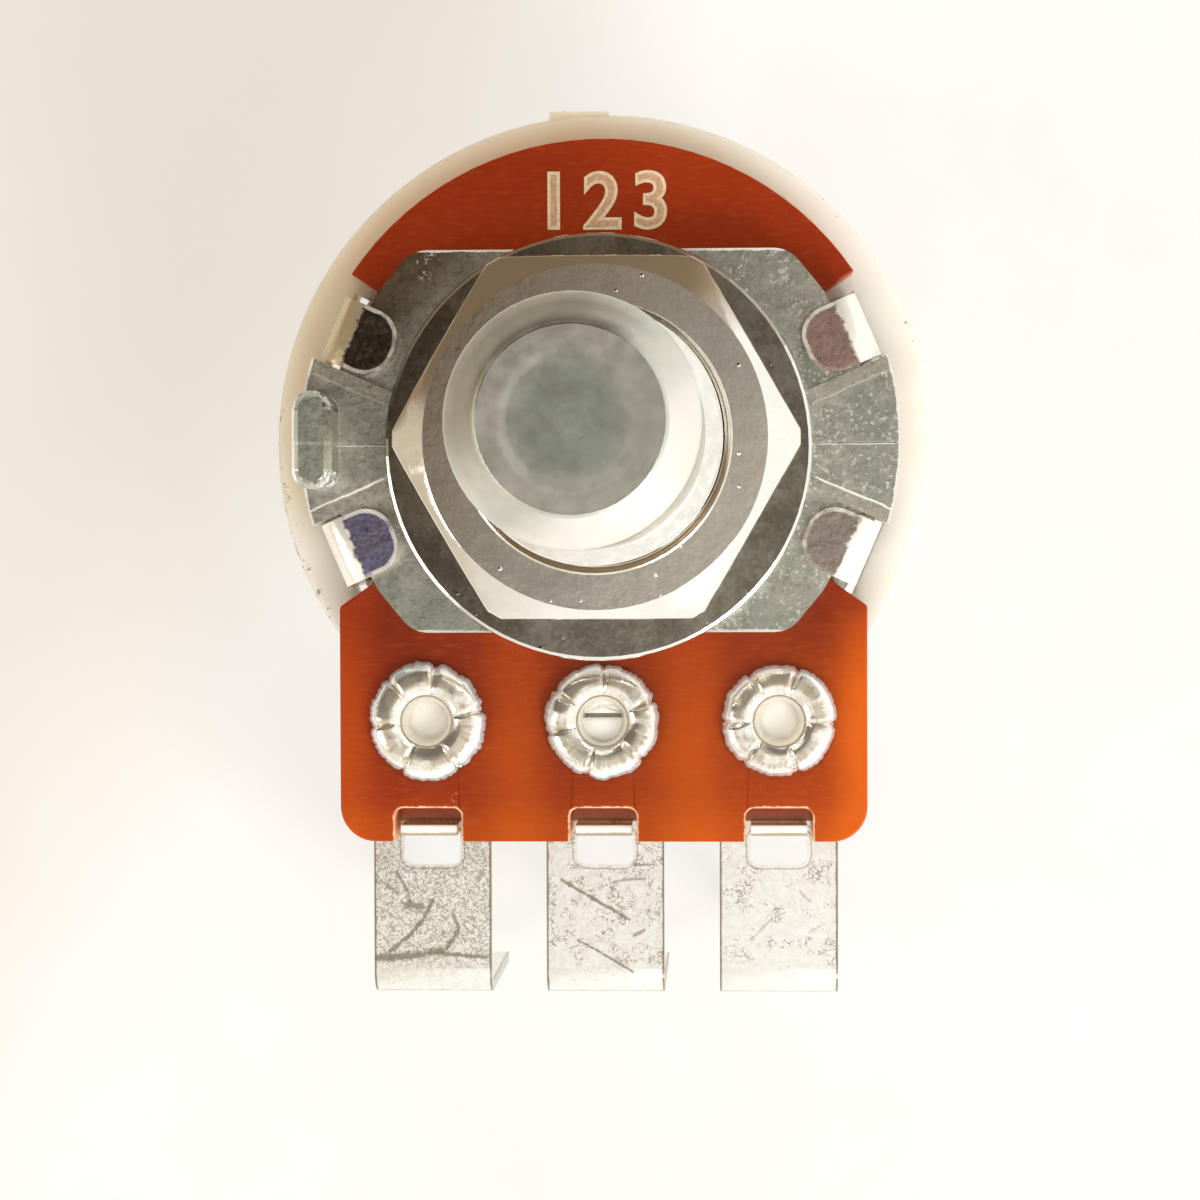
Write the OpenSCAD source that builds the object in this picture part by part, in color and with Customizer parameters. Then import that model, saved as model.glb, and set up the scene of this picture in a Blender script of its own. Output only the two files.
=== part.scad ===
// Single-gang rotary potentiometer for upright circuit board mounting.
// Origin: middle of the flat back of the rear cover, on the shaft axis.
// +Z runs along the shaft to its tip, the three terminals leave towards -Y.

/* [Shaft] */
// Diameter of the plain round shaft
shaft_d = 6; // [4:0.1:6]
// Length of the shaft from the mounting face to its tip
shaft_length = 15; // [10:0.5:30]
// Chamfer round the tip of the shaft
shaft_chamfer = 0.8; // [0.2:0.1:1]
// Radial running clearance between the shaft and its bush
shaft_clearance = 0.04; // [0.02:0.01:0.08]
// Full angle through which the shaft turns
turn_angle = 300; // [260:5:310]

/* [Front plate] */
// Outside diameter of the threaded bush
bush_d = 6.9; // [6.7:0.1:7.2]
// Length of the bush from the mounting face
bush_length = 5; // [4:0.5:9]
// Thickness of the plate under the claws
plate_t = 1.3; // [1.1:0.05:1.6]
// Height of the mounting face above the claw pockets
mount_raise = 0.5; // [0.5:0.05:0.8]
// Height of the plate across its two straight edges
plate_h = 10.7; // [9.5:0.1:11.5]
// Radius of the plate at the claws
plate_r = 7.5; // [7.3:0.05:7.5]
// Radius of the two raised wings
wing_r = 8.35; // [8:0.05:8.6]
// Height of the locating nib
nib_h = 1.8; // [1:0.1:3]
// Length of the locating nib along the edge
nib_length = 2.7; // [2:0.05:3.2]
// Width of the locating nib
nib_w = 1.1; // [0.9:0.05:1.4]

/* [Nut and washer] */
// Width of the nut across its flats
nut_flats = 9.8; // [9.5:0.1:11]
// Thickness of the nut
nut_t = 2; // [1.5:0.1:2.4]
// Diameter of the flat top of the nut inside its chamfer
nut_top_d = 9.3; // [9:0.1:9.4]
// Outside diameter of the flat washer
washer_d = 11.8; // [11:0.1:12.2]
// Thickness of the flat washer
washer_t = 0.8; // [0.5:0.05:1]
// How far the loose washer hangs below the axis
washer_drop = 0.2; // [0:0.05:0.3]

/* [Resistor board] */
// Thickness of the phenolic board
board_t = 1.2; // [1:0.05:1.6]
// Radius of the board's round top
board_r = 8.6; // [8.4:0.05:8.8]
// Width of the board across the terminals
board_w = 15; // [14.4:0.1:15.6]
// Distance from the shaft axis to the board's lower edge
board_drop = 11.35; // [11:0.05:11.8]
// Thickness of the printed tracks
track_t = 0.05; // [0.03:0.01:0.1]

/* [Terminals] */
// Spacing of the three terminals
terminal_pitch = 5; // [4.6:0.1:5.2]
// Width of each terminal
terminal_w = 3.4; // [3:0.05:3.6]
// Thickness of the terminal strip
terminal_t = 0.3; // [0.25:0.05:0.4]
// Distance from the shaft axis to the outer face of the legs
terminal_drop = 15.9; // [14.5:0.1:18]
// Width of the pins that enter the circuit board
pin_w = 1.2; // [0.8:0.1:1.4]
// Length of the pins behind the rear cover
pin_length = 4.2; // [2.5:0.1:6]
// Distance from the shaft axis to the eyelets
eyelet_drop = 7.9; // [7.8:0.05:8.2]
// Diameter of the split rim of each eyelet
eyelet_rim_d = 3.3; // [3:0.05:3.4]
// Diameter of the hole through each eyelet
eyelet_hole_d = 1.54; // [1.2:0.02:1.6]

/* [Housing and cover] */
// Distance from the back of the cover to the front of the board
body_depth = 8; // [7.8:0.1:10]
// Outside diameter of the plastic flange
flange_d = 18.9; // [18.6:0.1:19.6]
// Thickness of the plastic flange
flange_t = 1.5; // [1.4:0.05:1.8]
// Outside diameter of the metal cover
cover_d = 16.3; // [16.2:0.05:16.4]
// Thickness of the cover's sheet metal
cover_t = 0.5; // [0.4:0.05:0.5]
// Width of the claws that fold over the front plate
claw_w = 1.85; // [1.65:0.05:2]
// Angle of the claws above and below the horizontal
claw_angle = 23.3; // [23:0.1:24]
// Distance from the shaft axis to the tips of the folded claws
claw_tip_r = 6.25; // [6.2:0.05:6.6]

/* [Hidden] */
$fn = 96;

// Levels along the axis, from the back of the cover to the tip of the shaft
board_front = body_depth;
board_back = board_front - board_t;
track_back = board_back - track_t;
plate_low = board_front + plate_t;
mount_face = plate_low + mount_raise;
bush_end = mount_face + bush_length;
shaft_tip = mount_face + shaft_length;
flange_back = board_back - flange_t;

// Shaft: its thinner journal in the bush, ring groove and D-shaped neck for the rotor
shaft_r = shaft_d / 2;
shoulder_step = 0.2;
shoulder_gap = 0.05;
journal_r = shaft_r - shoulder_step;
bore_r = journal_r + shaft_clearance;
groove_depth = 0.5;
groove_r = journal_r - groove_depth;
groove_w = 0.6;
collar_w = 0.65;
neck_step = 0.3;
neck_r = journal_r - neck_step;
flat_depth = 0.8;
neck_flat = neck_r - flat_depth;
neck_end_gap = 0.25;
neck_end = cover_t + neck_end_gap;

// Retaining ring and the recess that takes it, in the back of the plate
ring_t = 0.5;
ring_w = 1.6;
ring_r = groove_r + ring_w;
ring_bite = 0.25;
ring_end_play = 0.05;
recess_depth = 0.85;
recess_gap = 0.3;
recess_r = ring_r + recess_gap;
recess_floor = board_front + recess_depth;
neck_top = recess_floor - groove_w - collar_w;

// Bush and plate
bush_r = bush_d / 2;
bush_chamfer = 0.4;
claw_flat = 1.25;
rim_gap = 0.65;
rim_r = plate_r - claw_flat - rim_gap;
plate_corner_r = 0.9;
claw_side_gap = 0.1;
claw_end_gap = 0.4;
nib_chamfer = 0.2;

// Nut
nut_corner_trim = 0.12;
nut_chamfer_angle = 30;
nut_mouth = 0.2;

// Resistor board
shaft_hole_gap = 0.3;
board_hole_r = journal_r + shaft_hole_gap;
waist_gap = 0.05;
board_waist_r = plate_r - waist_gap;
board_arc_start = 34;
board_corner_r = 1;
shoulder_y = 4.65;
shoulder_cut = 0.9;
shoulder_angle = 35;
waist_cut = 4;
notch_w = 1.9;
notch_h = 0.95;
notch_corner_r = 0.25;

// Printed tracks on the back of the board
print_edge = 0.25;
collector_w = 0.8;
print_gap = 0.45;
track_w = 1.3;
collector_in = board_hole_r + print_edge;
collector_out = collector_in + collector_w;
track_in = collector_out + print_gap;
track_out = track_in + track_w;
track_mid_r = track_in + track_w / 2;
track_half_gap = (360 - turn_angle) / 2;
lead_w = 1.3;
lead_pad_r = 1.35;
lead_turn = 9;
lead_end_turn = 14;

// Terminals, each with a tongue bent forward into a notch of the board
terminal_front = track_back;
terminal_back = terminal_front - terminal_t;
terminal_head = 1.7;
terminal_head_r = 0.8;
bend_r = 0.75;
window_w = 1.6;
window_h = 0.95;
window_rise = 0.15;
window_corner_r = 0.2;
window_top = board_drop - window_rise;
tongue_length = board_t - window_rise;
pin_point = 0.6;

// Eyelets
eyelet_wall = 0.18;
eyelet_hole_r = eyelet_hole_d / 2;
eyelet_barrel_r = eyelet_hole_r + eyelet_wall;
eyelet_rim_r = eyelet_rim_d / 2;
eyelet_flange_r = 1.45;
eyelet_flange_t = 0.25;
eyelet_roll_t = 0.3;
eyelet_roll_w = 0.35;
eyelet_rim_t = 0.12;
petals = 6;
petal_slit = 0.12;
petal_turn = 8;
hole_gap = 0.02;

// Housing
cover_gap = 0.1;
wall_t = 0.65;
flange_r = flange_d / 2;
flange_edge = 0.25;
gate_w = 1.7;
gate_h = 0.25;
gate_x = -0.7;
foot_w = 14.4;
foot_drop = eyelet_drop + 1.5;
cover_r = cover_d / 2;
cover_in_r = cover_r - cover_t;
wall_r = cover_in_r - cover_gap;
cavity_r = wall_r - wall_t;
slot_gap = 0.15;
slot_end_gap = 0.25;
pocket_gap = 0.1;
lead_recess = 2 * track_t;
pocket_depth = track_t + terminal_t + pocket_gap;
rivet_pocket_depth = pocket_depth + eyelet_flange_t + 0.15;
rivet_pocket_r = eyelet_flange_r + 0.2;
pocket_rise = 1;
pocket_top = eyelet_drop - terminal_head - pocket_rise;

// Stops: a rib in the housing, and a lug on the rotor that meets it
rib_half_angle = 14;
stop_gap = 0.5;
rib_w = 1.2;
rib_in = cavity_r - rib_w;
rib_top = 3.2;
lug_half_angle = (360 - turn_angle) / 2 - rib_half_angle - stop_gap;

// Rotor and wiper
rotor_gap = 0.4;
rotor_r = cavity_r - rotor_gap;
lug_w = 1.5;
lug_in = rotor_r - lug_w;
lug_back = 1.6;
rotor_back = 3.4;
rotor_front = 4.9;
hub_gap = 0.25;
hub_r = collector_in - hub_gap;
hub_back = neck_end + hub_gap;
hub_front_gap = 0.5;
hub_front = board_back - hub_front_gap;
contact_t = 0.2;
contact_edge = 0.2;
contact_in = hub_r + contact_edge;
contact_out = rotor_r - contact_edge;
base_angles = [-25, 66];
arm_w = 0.8;
arm_start = 2.9;
arm_tip = 0.25;
arm_knee = 0.45;
tip_gap = 0.02;
arm_rise = track_back - tip_gap - rotor_front;
peg_r = 0.4;
peg_h = 0.35;
peg_place_r = (contact_in + contact_out) / 2 + 0.4;
peg_angles = [-8, 30];

// Cover
cover_corner = 0.8;
claw_bend = 0.15;
claw_round = 0.8;
claw_angles = [claw_angle, 180 - claw_angle, 180 + claw_angle, 360 - claw_angle];

big = 40;
eps = 0.01;

// A ring between two radii and two levels
module ring(r_in, r_out, z_low, z_high) {
    translate([0, 0, z_low])
        difference() {
            cylinder(r = r_out, h = z_high - z_low);
            translate([0, 0, -1]) cylinder(r = r_in, h = z_high - z_low + 2);
        }
}

// A flat wedge, from one angle to another, each step at most 60 degrees wide
module wedge(a_start, a_end, r = big) {
    steps = ceil((a_end - a_start) / 60);
    polygon(concat([[0, 0]], [for (i = [0:steps])
        let (a = a_start + (a_end - a_start) * i / steps) r * [cos(a), sin(a)]]));
}

// The part of a ring between two angles
module ring_sector(r_in, r_out, a_start, a_end, z_low, z_high) {
    translate([0, 0, z_low])
        linear_extrude(z_high - z_low)
            intersection() {
                difference() {
                    circle(r = r_out);
                    circle(r = r_in);
                }
                wedge(a_start, a_end);
            }
}

// A flat slot shape with round ends, centred, its length along Y
module slot_shape(length, width) {
    square([width, length - width], center = true);
    for (s = [-1, 1])
        translate([0, s * (length - width) / 2]) circle(d = width);
}

// A rectangle with round corners
module round_rectangle(x_low, x_high, y_low, y_high, r) {
    translate([x_low + r, y_low]) square([x_high - x_low - 2 * r, y_high - y_low]);
    translate([x_low, y_low + r]) square([x_high - x_low, y_high - y_low - 2 * r]);
    for (x = [x_low + r, x_high - r], y = [y_low + r, y_high - r])
        translate([x, y]) circle(r = r);
}

// Outline of the plate at the level of the claw pockets
module plate_outline() {
    offset(r = plate_corner_r, $fn = 32) offset(delta = -plate_corner_r)
        intersection() {
            circle(r = plate_r);
            square([2 * plate_r, plate_h], center = true);
        }
}

// Die-cast front plate, with its wings, locating nib and threaded bush in one piece
module front_plate() {
    color([0.56, 0.55, 0.52])
        difference() {
            union() {
                translate([0, 0, board_front]) linear_extrude(plate_t) plate_outline();
                translate([0, 0, board_front]) cylinder(r = rim_r, h = plate_t + mount_raise);
                for (a = [0, 180])
                    wing(a);
                bush();
                nib();
            }
            translate([0, 0, board_front - 1]) cylinder(r = bore_r, h = big);
            translate([0, 0, board_front - 1]) cylinder(r = recess_r, h = 1 + recess_depth);
        }
}

// One raised wing, cut back on both sides to make room for the claws
module wing(a) {
    pocket_w = claw_w + 2 * claw_side_gap;
    difference() {
        ring_sector(rim_r - rim_gap, wing_r, a - claw_angle, a + claw_angle, board_front, mount_face);
        for (s = [-1, 1])
            rotate([0, 0, a + s * claw_angle]) {
                translate([claw_tip_r - claw_end_gap, -pocket_w / 2, plate_low])
                    cube([big, pocket_w, big]);
                translate([plate_r, -pocket_w / 2, 0]) cube([big, pocket_w, big]);
            }
    }
}

// The bush, as wide as its thread, with a chamfered end
module bush() {
    translate([0, 0, mount_face - eps])
        cylinder(r = bush_r, h = bush_length - bush_chamfer + eps);
    translate([0, 0, bush_end - bush_chamfer])
        cylinder(r1 = bush_r, r2 = bush_r - bush_chamfer, h = bush_chamfer);
}

// The nib that keeps the body from turning in a panel
module nib() {
    straight = nib_length - nib_w;
    top_w = nib_w - 2 * nib_chamfer;
    translate([-wing_r + nib_w / 2, 0, mount_face - eps]) {
        linear_extrude(nib_h - nib_chamfer + eps) slot_shape(nib_length, nib_w);
        translate([0, 0, nib_h - nib_chamfer + eps]) {
            for (s = [-1, 1])
                translate([0, s * straight / 2, 0])
                    cylinder(d1 = nib_w, d2 = top_w, h = nib_chamfer);
            translate([0, straight / 2, 0])
                rotate([90, 0, 0])
                    linear_extrude(straight)
                        polygon([[-nib_w / 2, 0], [nib_w / 2, 0],
                                 [top_w / 2, nib_chamfer], [-top_w / 2, nib_chamfer]]);
        }
    }
}

// Flat washer, hanging on the bush by its loose bore
module washer() {
    color([0.72, 0.71, 0.68])
        translate([0, -washer_drop, 0])
            ring(bush_r + washer_drop + hole_gap, washer_d / 2, mount_face, mount_face + washer_t);
}

// Hexagon nut with a turned chamfer on its upper face
module hex_nut() {
    nut_r = nut_flats / sqrt(3);
    corner_r = nut_r - nut_corner_trim;
    drop = (corner_r - nut_top_d / 2) * tan(nut_chamfer_angle);
    color([0.78, 0.76, 0.72])
        translate([0, 0, mount_face + washer_t])
            difference() {
                intersection() {
                    cylinder(r = nut_r, h = nut_t, $fn = 6);
                    union() {
                        cylinder(r = corner_r, h = nut_t - drop);
                        translate([0, 0, nut_t - drop])
                            cylinder(r1 = corner_r, r2 = nut_top_d / 2, h = drop);
                    }
                }
                translate([0, 0, -1]) cylinder(r = bush_r + hole_gap, h = nut_t + 2);
                translate([0, 0, nut_t - nut_mouth])
                    cylinder(r1 = bush_r, r2 = bush_r + 2 * nut_mouth, h = 2 * nut_mouth);
            }
}

// Plain round shaft. Its shoulder stands on the bush, a groove takes the ring behind the
// plate, and a D-shaped neck carries the rotor
module shaft() {
    shoulder = bush_end + shoulder_gap;
    color([0.74, 0.72, 0.70]) {
        translate([0, 0, shoulder])
            cylinder(r = shaft_r, h = shaft_tip - shaft_chamfer - shoulder);
        translate([0, 0, shaft_tip - shaft_chamfer])
            cylinder(r1 = shaft_r, r2 = shaft_r - shaft_chamfer, h = shaft_chamfer);
        translate([0, 0, recess_floor])
            cylinder(r = journal_r, h = shoulder - recess_floor + eps);
        translate([0, 0, neck_top]) cylinder(r = groove_r, h = recess_floor - neck_top + eps);
        translate([0, 0, neck_top]) cylinder(r = journal_r, h = collar_w);
        translate([0, 0, neck_end]) linear_extrude(neck_top - neck_end + eps) neck_shape();
    }
}

module neck_shape() {
    difference() {
        circle(r = neck_r);
        translate([neck_flat, -neck_r]) square(2 * neck_r);
    }
}

// Open ring that snaps into the groove and holds the shaft in the bush
module retaining_ring() {
    low = recess_floor - ring_end_play - ring_t;
    mouth_w = 2 * (groove_r - ring_bite);
    color([0.45, 0.44, 0.43])
        difference() {
            ring(groove_r + hole_gap, ring_r, low, low + ring_t);
            translate([0, -mouth_w / 2, low - 1]) cube([ring_r + 1, mouth_w, ring_t + 2]);
        }
}

// Moulded rotor, with its hub, disc, stop lug and two pegs for the contact
module rotor() {
    color([0.13, 0.13, 0.14])
        difference() {
            union() {
                translate([0, 0, hub_back]) cylinder(r = hub_r, h = hub_front - hub_back);
                translate([0, 0, rotor_back])
                    cylinder(r = rotor_r, h = rotor_front - rotor_back);
                ring_sector(lug_in, rotor_r, 90 - lug_half_angle, 90 + lug_half_angle,
                            lug_back, rotor_back + eps);
                for (a = peg_angles)
                    rotate([0, 0, a])
                        translate([peg_place_r, 0, rotor_front - eps])
                            cylinder(r = peg_r, h = peg_h + eps);
            }
            translate([0, 0, hub_back - 1])
                linear_extrude(hub_front - hub_back + 2) neck_shape();
        }
}

// Stamped spring contact: a base on two pegs, and an arm to each track
module wiper_contact() {
    color([0.80, 0.62, 0.30]) {
        difference() {
            ring_sector(contact_in, contact_out, base_angles[0], base_angles[1],
                        rotor_front, rotor_front + contact_t);
            for (a = peg_angles)
                rotate([0, 0, a])
                    translate([peg_place_r, 0, rotor_front - 1]) cylinder(r = peg_r, h = 3);
        }
        for (y = [collector_in + collector_w / 2, track_mid_r])
            wiper_arm(y);
    }
}

// One arm, rising from the base to a bent-over tip under its track
module wiper_arm(y) {
    tip_low = arm_rise - arm_knee;
    translate([0, y + arm_w / 2, rotor_front])
        rotate([90, 0, 0])
            linear_extrude(arm_w)
                polygon([[arm_start, 0], [arm_start, contact_t],
                         [arm_tip, arm_rise], [arm_tip - contact_t, arm_rise],
                         [arm_tip - arm_knee, tip_low], [arm_tip - arm_knee + contact_t, tip_low],
                         [arm_tip, arm_rise - 1.5 * contact_t], [arm_start - arm_knee, 0]]);
}

// Outline of the board: a round top, a narrow waist under the plate and a broad foot
module board_outline() {
    foot_w = board_w / 2;
    difference() {
        union() {
            circle(r = board_waist_r);
            intersection() {
                circle(r = board_r);
                wedge(board_arc_start, 180 - board_arc_start);
            }
            difference() {
                round_rectangle(-foot_w, foot_w, -board_drop, 0, board_corner_r);
                for (s = [-1, 1])
                    scale([s, 1])
                        polygon([[foot_w + 1, 1], [foot_w + 1, -shoulder_y],
                                 [foot_w, -shoulder_y],
                                 [foot_w - shoulder_cut,
                                  shoulder_cut * tan(shoulder_angle) - shoulder_y],
                                 [foot_w - waist_cut, 1]]);
            }
        }
        circle(r = board_hole_r);
        for (x = terminal_places())
            translate([x, 0]) {
                translate([0, -eyelet_drop]) circle(r = eyelet_barrel_r + hole_gap);
                notch_shape();
            }
    }
}

// Where the three terminals stand, from left to right
function terminal_places() = [-terminal_pitch, 0, terminal_pitch];

// Notch in the board's lower edge, with round inner corners
module notch_shape() {
    round_rectangle(-notch_w / 2, notch_w / 2, -board_drop - notch_h, -board_drop + notch_h,
                    notch_corner_r);
}

module resistor_board() {
    color([0.78, 0.28, 0.07])
        translate([0, 0, board_back]) linear_extrude(board_t) board_outline();
}

// One printed film on the back of the board
module print_film() {
    translate([0, 0, track_back]) linear_extrude(track_t) children();
}

// Horseshoe of carbon under the wiper's outer arm
module carbon_track() {
    color([0.10, 0.10, 0.10])
        print_film()
            intersection() {
                difference() {
                    circle(r = track_out);
                    circle(r = track_in);
                }
                wedge(track_half_gap - 90, 270 - track_half_gap);
            }
}

// Ring under the wiper's inner arm, with its strip to the middle terminal
module collector_ring() {
    color([0.75, 0.75, 0.76])
        print_film()
            difference() {
                union() {
                    circle(r = collector_out);
                    translate([-lead_w / 2, -eyelet_drop]) square([lead_w, eyelet_drop]);
                    translate([0, -eyelet_drop]) circle(r = lead_pad_r);
                }
                circle(r = collector_in);
                translate([0, -eyelet_drop]) circle(r = eyelet_barrel_r + hole_gap);
            }
}

// Strip from one end of the carbon to the eyelet of that side
module track_lead(side) {
    end_angle = -90 + side * track_half_gap;
    start_angle = end_angle - side * lead_turn;
    stop_angle = end_angle - side * lead_end_turn;
    start = track_mid_r * [cos(start_angle), sin(start_angle)];
    pad = [side * terminal_pitch, -eyelet_drop];
    run = pad - start;
    color([0.75, 0.75, 0.76])
        print_film()
            difference() {
                union() {
                    intersection() {
                        circle(r = track_out);
                        wedge(min(end_angle, stop_angle), max(end_angle, stop_angle));
                    }
                    difference() {
                        translate(start) rotate([0, 0, atan2(run[1], run[0])])
                            translate([0, -lead_w / 2]) square([norm(run), lead_w]);
                        intersection() {
                            circle(r = track_out);
                            wedge(min(end_angle, end_angle + side * 60),
                                  max(end_angle, end_angle + side * 60));
                        }
                    }
                    translate(pad) circle(r = lead_pad_r);
                }
                circle(r = track_in);
                translate(pad) circle(r = eyelet_barrel_r + hole_gap);
            }
}

module track_lead_left() { track_lead(-1); }
module track_lead_right() { track_lead(1); }

// Stamped and bent terminal: a strip behind the board, a leg and a narrow pin
module terminal(x) {
    leg_front = terminal_front - bend_r;
    strip_end = terminal_drop - bend_r;
    color([0.90, 0.89, 0.87])
        translate([x, 0, 0]) {
            difference() {
                union() {
                    translate([0, 0, terminal_back]) linear_extrude(terminal_t) terminal_strip(strip_end);
                    translate([-terminal_w / 2, -strip_end, leg_front]) terminal_bend();
                    translate([0, -terminal_drop + terminal_t, 0])
                        rotate([90, 0, 0]) linear_extrude(terminal_t) terminal_leg(leg_front);
                    terminal_tongue();
                }
                translate([0, -eyelet_drop, terminal_back - 1])
                    cylinder(r = eyelet_barrel_r + hole_gap, h = terminal_t + 2);
            }
        }
}

// The flat strip, with the window from which the tongue is cut
module terminal_strip(strip_end) {
    difference() {
        union() {
            round_rectangle(-terminal_w / 2, terminal_w / 2, -eyelet_drop - terminal_head,
                            -eyelet_drop + terminal_head, terminal_head_r);
            translate([-terminal_w / 2, -strip_end])
                square([terminal_w, strip_end - eyelet_drop]);
        }
        round_rectangle(-window_w / 2, window_w / 2, -window_top - window_h, -window_top,
                        window_corner_r);
    }
}

// Quarter turn from the strip into the leg
module terminal_bend() {
    rotate([0, 90, 0])
        rotate([0, 0, 180])
            linear_extrude(terminal_w)
                intersection() {
                    difference() {
                        circle(r = bend_r);
                        circle(r = bend_r - terminal_t);
                    }
                    square(bend_r);
                }
}

// The leg and its pin, drawn flat with its height along Y
module terminal_leg(leg_front) {
    translate([-terminal_w / 2, 0]) square([terminal_w, leg_front]);
    polygon([[-pin_w / 2, eps], [pin_w / 2, eps], [pin_w / 2, -pin_length + pin_point],
             [pin_w / 4, -pin_length], [-pin_w / 4, -pin_length], [-pin_w / 2, -pin_length + pin_point]]);
}

// The tongue, bent forward out of the window
module terminal_tongue() {
    translate([-window_w / 2, -window_top, terminal_back])
        cube([window_w, terminal_t, terminal_t + tongue_length]);
}

module terminal_left() { terminal(-terminal_pitch); }
module terminal_middle() { terminal(0); }
module terminal_right() { terminal(terminal_pitch); }

// Rolled eyelet: a flange behind the terminal, a barrel and a split rim in front
module eyelet(x) {
    back = terminal_back - eyelet_flange_t;
    color([0.88, 0.86, 0.82])
        translate([x, -eyelet_drop, 0])
            difference() {
                union() {
                    ring(eyelet_hole_r, eyelet_flange_r, back, terminal_back);
                    ring(eyelet_hole_r, eyelet_barrel_r, back, board_front + eps);
                    rotate_extrude()
                        polygon([[eyelet_hole_r, board_front], [eyelet_rim_r, board_front],
                                 [eyelet_rim_r, board_front + eyelet_rim_t],
                                 [eyelet_barrel_r + eyelet_roll_w, board_front + eyelet_roll_t],
                                 [eyelet_barrel_r, board_front + eyelet_roll_t],
                                 [eyelet_hole_r, board_front + eyelet_rim_t]]);
                }
                for (i = [0:petals - 1])
                    rotate([0, 0, petal_turn + i * 360 / petals])
                        translate([eyelet_barrel_r, -petal_slit / 2, board_front + eps])
                            cube([eyelet_rim_r, petal_slit, 1]);
            }
}

module eyelet_left() { eyelet(-terminal_pitch); }
module eyelet_middle() { eyelet(0); }
module eyelet_right() { eyelet(terminal_pitch); }

// Moulded housing: a flange behind the board, a wall inside the cover and the stop rib
module housing() {
    color([0.92, 0.88, 0.80]) {
        difference() {
            union() {
                ring(cavity_r, wall_r, cover_t, board_back);
                ring(wall_r - eps, flange_r, flange_back, board_back - flange_edge);
                difference() {
                    union() {
                        translate([0, 0, board_back - flange_edge])
                            cylinder(r1 = flange_r, r2 = flange_r - flange_edge / 2,
                                     h = flange_edge);
                        translate([-foot_w / 2, -foot_drop, flange_back])
                            cube([foot_w, foot_drop - pocket_top, flange_t]);
                    }
                    translate([0, 0, flange_back - 1]) cylinder(r = wall_r - eps, h = big);
                }
                translate([gate_x - gate_w / 2, flange_r - 1, flange_back])
                    cube([gate_w, 1 + gate_h - flange_edge / 2, flange_t - flange_edge]);
            }
            for (a = claw_angles)
                rotate([0, 0, a]) claw_slot();
            for (x = terminal_places())
                translate([x, 0, 0]) terminal_pocket();
            translate([-terminal_pitch, -eyelet_drop, board_back - lead_recess])
                cube([2 * terminal_pitch, eyelet_drop - pocket_top, big]);
        }
        ring_sector(rib_in, cavity_r + eps, 270 - rib_half_angle, 270 + rib_half_angle,
                    cover_t, rib_top);
    }
}

// Opening in the flange through which a claw passes
module claw_slot() {
    translate([cover_in_r - slot_gap / 2, -claw_w / 2 - slot_end_gap, flange_back - 1])
        cube([cover_t + 1.5 * slot_gap, claw_w + 2 * slot_end_gap, flange_t + 2]);
}

// Room in the flange for one terminal and the back of its eyelet
module terminal_pocket() {
    half_w = terminal_w / 2 + pocket_gap;
    translate([-half_w, -big, board_back - pocket_depth])
        cube([2 * half_w, big - pocket_top, big]);
    translate([0, -eyelet_drop, board_back - rivet_pocket_depth])
        cylinder(r = rivet_pocket_r, h = big);
}

// Drawn metal cover, with four claws that fold over the front plate
module rear_cover() {
    color([0.80, 0.77, 0.70]) {
        rotate_extrude()
            difference() {
                union() {
                    square([cover_r - cover_corner, flange_back]);
                    translate([0, cover_corner]) square([cover_r, flange_back - cover_corner]);
                    translate([cover_r - cover_corner, cover_corner]) circle(r = cover_corner);
                }
                translate([-1, cover_t]) square([cover_in_r + 1, flange_back]);
                translate([-big, -1]) square([big, big]);
            }
        for (a = claw_angles)
            rotate([0, 0, a]) claw();
    }
}

// One claw: a strap up the side, a bend and a flat end with round corners
module claw() {
    bend_x = cover_in_r - claw_bend;
    bend_z = plate_low - claw_bend;
    bend_out = claw_bend + cover_t;
    translate([cover_in_r, -claw_w / 2, flange_back - 1])
        cube([cover_t, claw_w, bend_z - flange_back + 1]);
    translate([bend_x, claw_w / 2, bend_z])
        rotate([90, 0, 0])
            linear_extrude(claw_w)
                intersection() {
                    difference() {
                        circle(r = bend_out);
                        circle(r = claw_bend);
                    }
                    square(bend_out + 1);
                }
    translate([0, 0, plate_low])
        linear_extrude(cover_t)
            intersection() {
                round_rectangle(claw_tip_r, bend_x + 2, -claw_w / 2, claw_w / 2, claw_round);
                translate([0, -claw_w]) square([bend_x, 2 * claw_w]);
            }
}

front_plate();
washer();
hex_nut();
shaft();
retaining_ring();
rotor();
wiper_contact();
resistor_board();
carbon_track();
collector_ring();
track_lead_left();
track_lead_right();
terminal_left();
terminal_middle();
terminal_right();
eyelet_left();
eyelet_middle();
eyelet_right();
housing();
rear_cover();
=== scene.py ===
"""Looks of a rotary potentiometer that stands upright on a circuit board."""
import math
import random
from functools import reduce

import bpy
from mathutils import Matrix, Vector


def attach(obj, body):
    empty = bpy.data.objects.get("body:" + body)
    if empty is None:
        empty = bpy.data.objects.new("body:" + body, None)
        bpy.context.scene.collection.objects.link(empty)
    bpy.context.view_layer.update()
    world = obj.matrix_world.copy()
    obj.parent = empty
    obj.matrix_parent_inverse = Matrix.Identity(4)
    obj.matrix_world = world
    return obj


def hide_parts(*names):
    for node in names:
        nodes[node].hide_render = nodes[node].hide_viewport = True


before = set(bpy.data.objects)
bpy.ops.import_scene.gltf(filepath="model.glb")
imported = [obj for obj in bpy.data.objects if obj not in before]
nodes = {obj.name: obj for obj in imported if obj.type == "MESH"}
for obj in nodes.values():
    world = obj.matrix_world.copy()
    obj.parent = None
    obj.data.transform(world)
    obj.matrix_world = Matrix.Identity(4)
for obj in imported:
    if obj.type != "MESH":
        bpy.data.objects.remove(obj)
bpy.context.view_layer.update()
scene = bpy.context.scene

MM = 0.001

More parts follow.
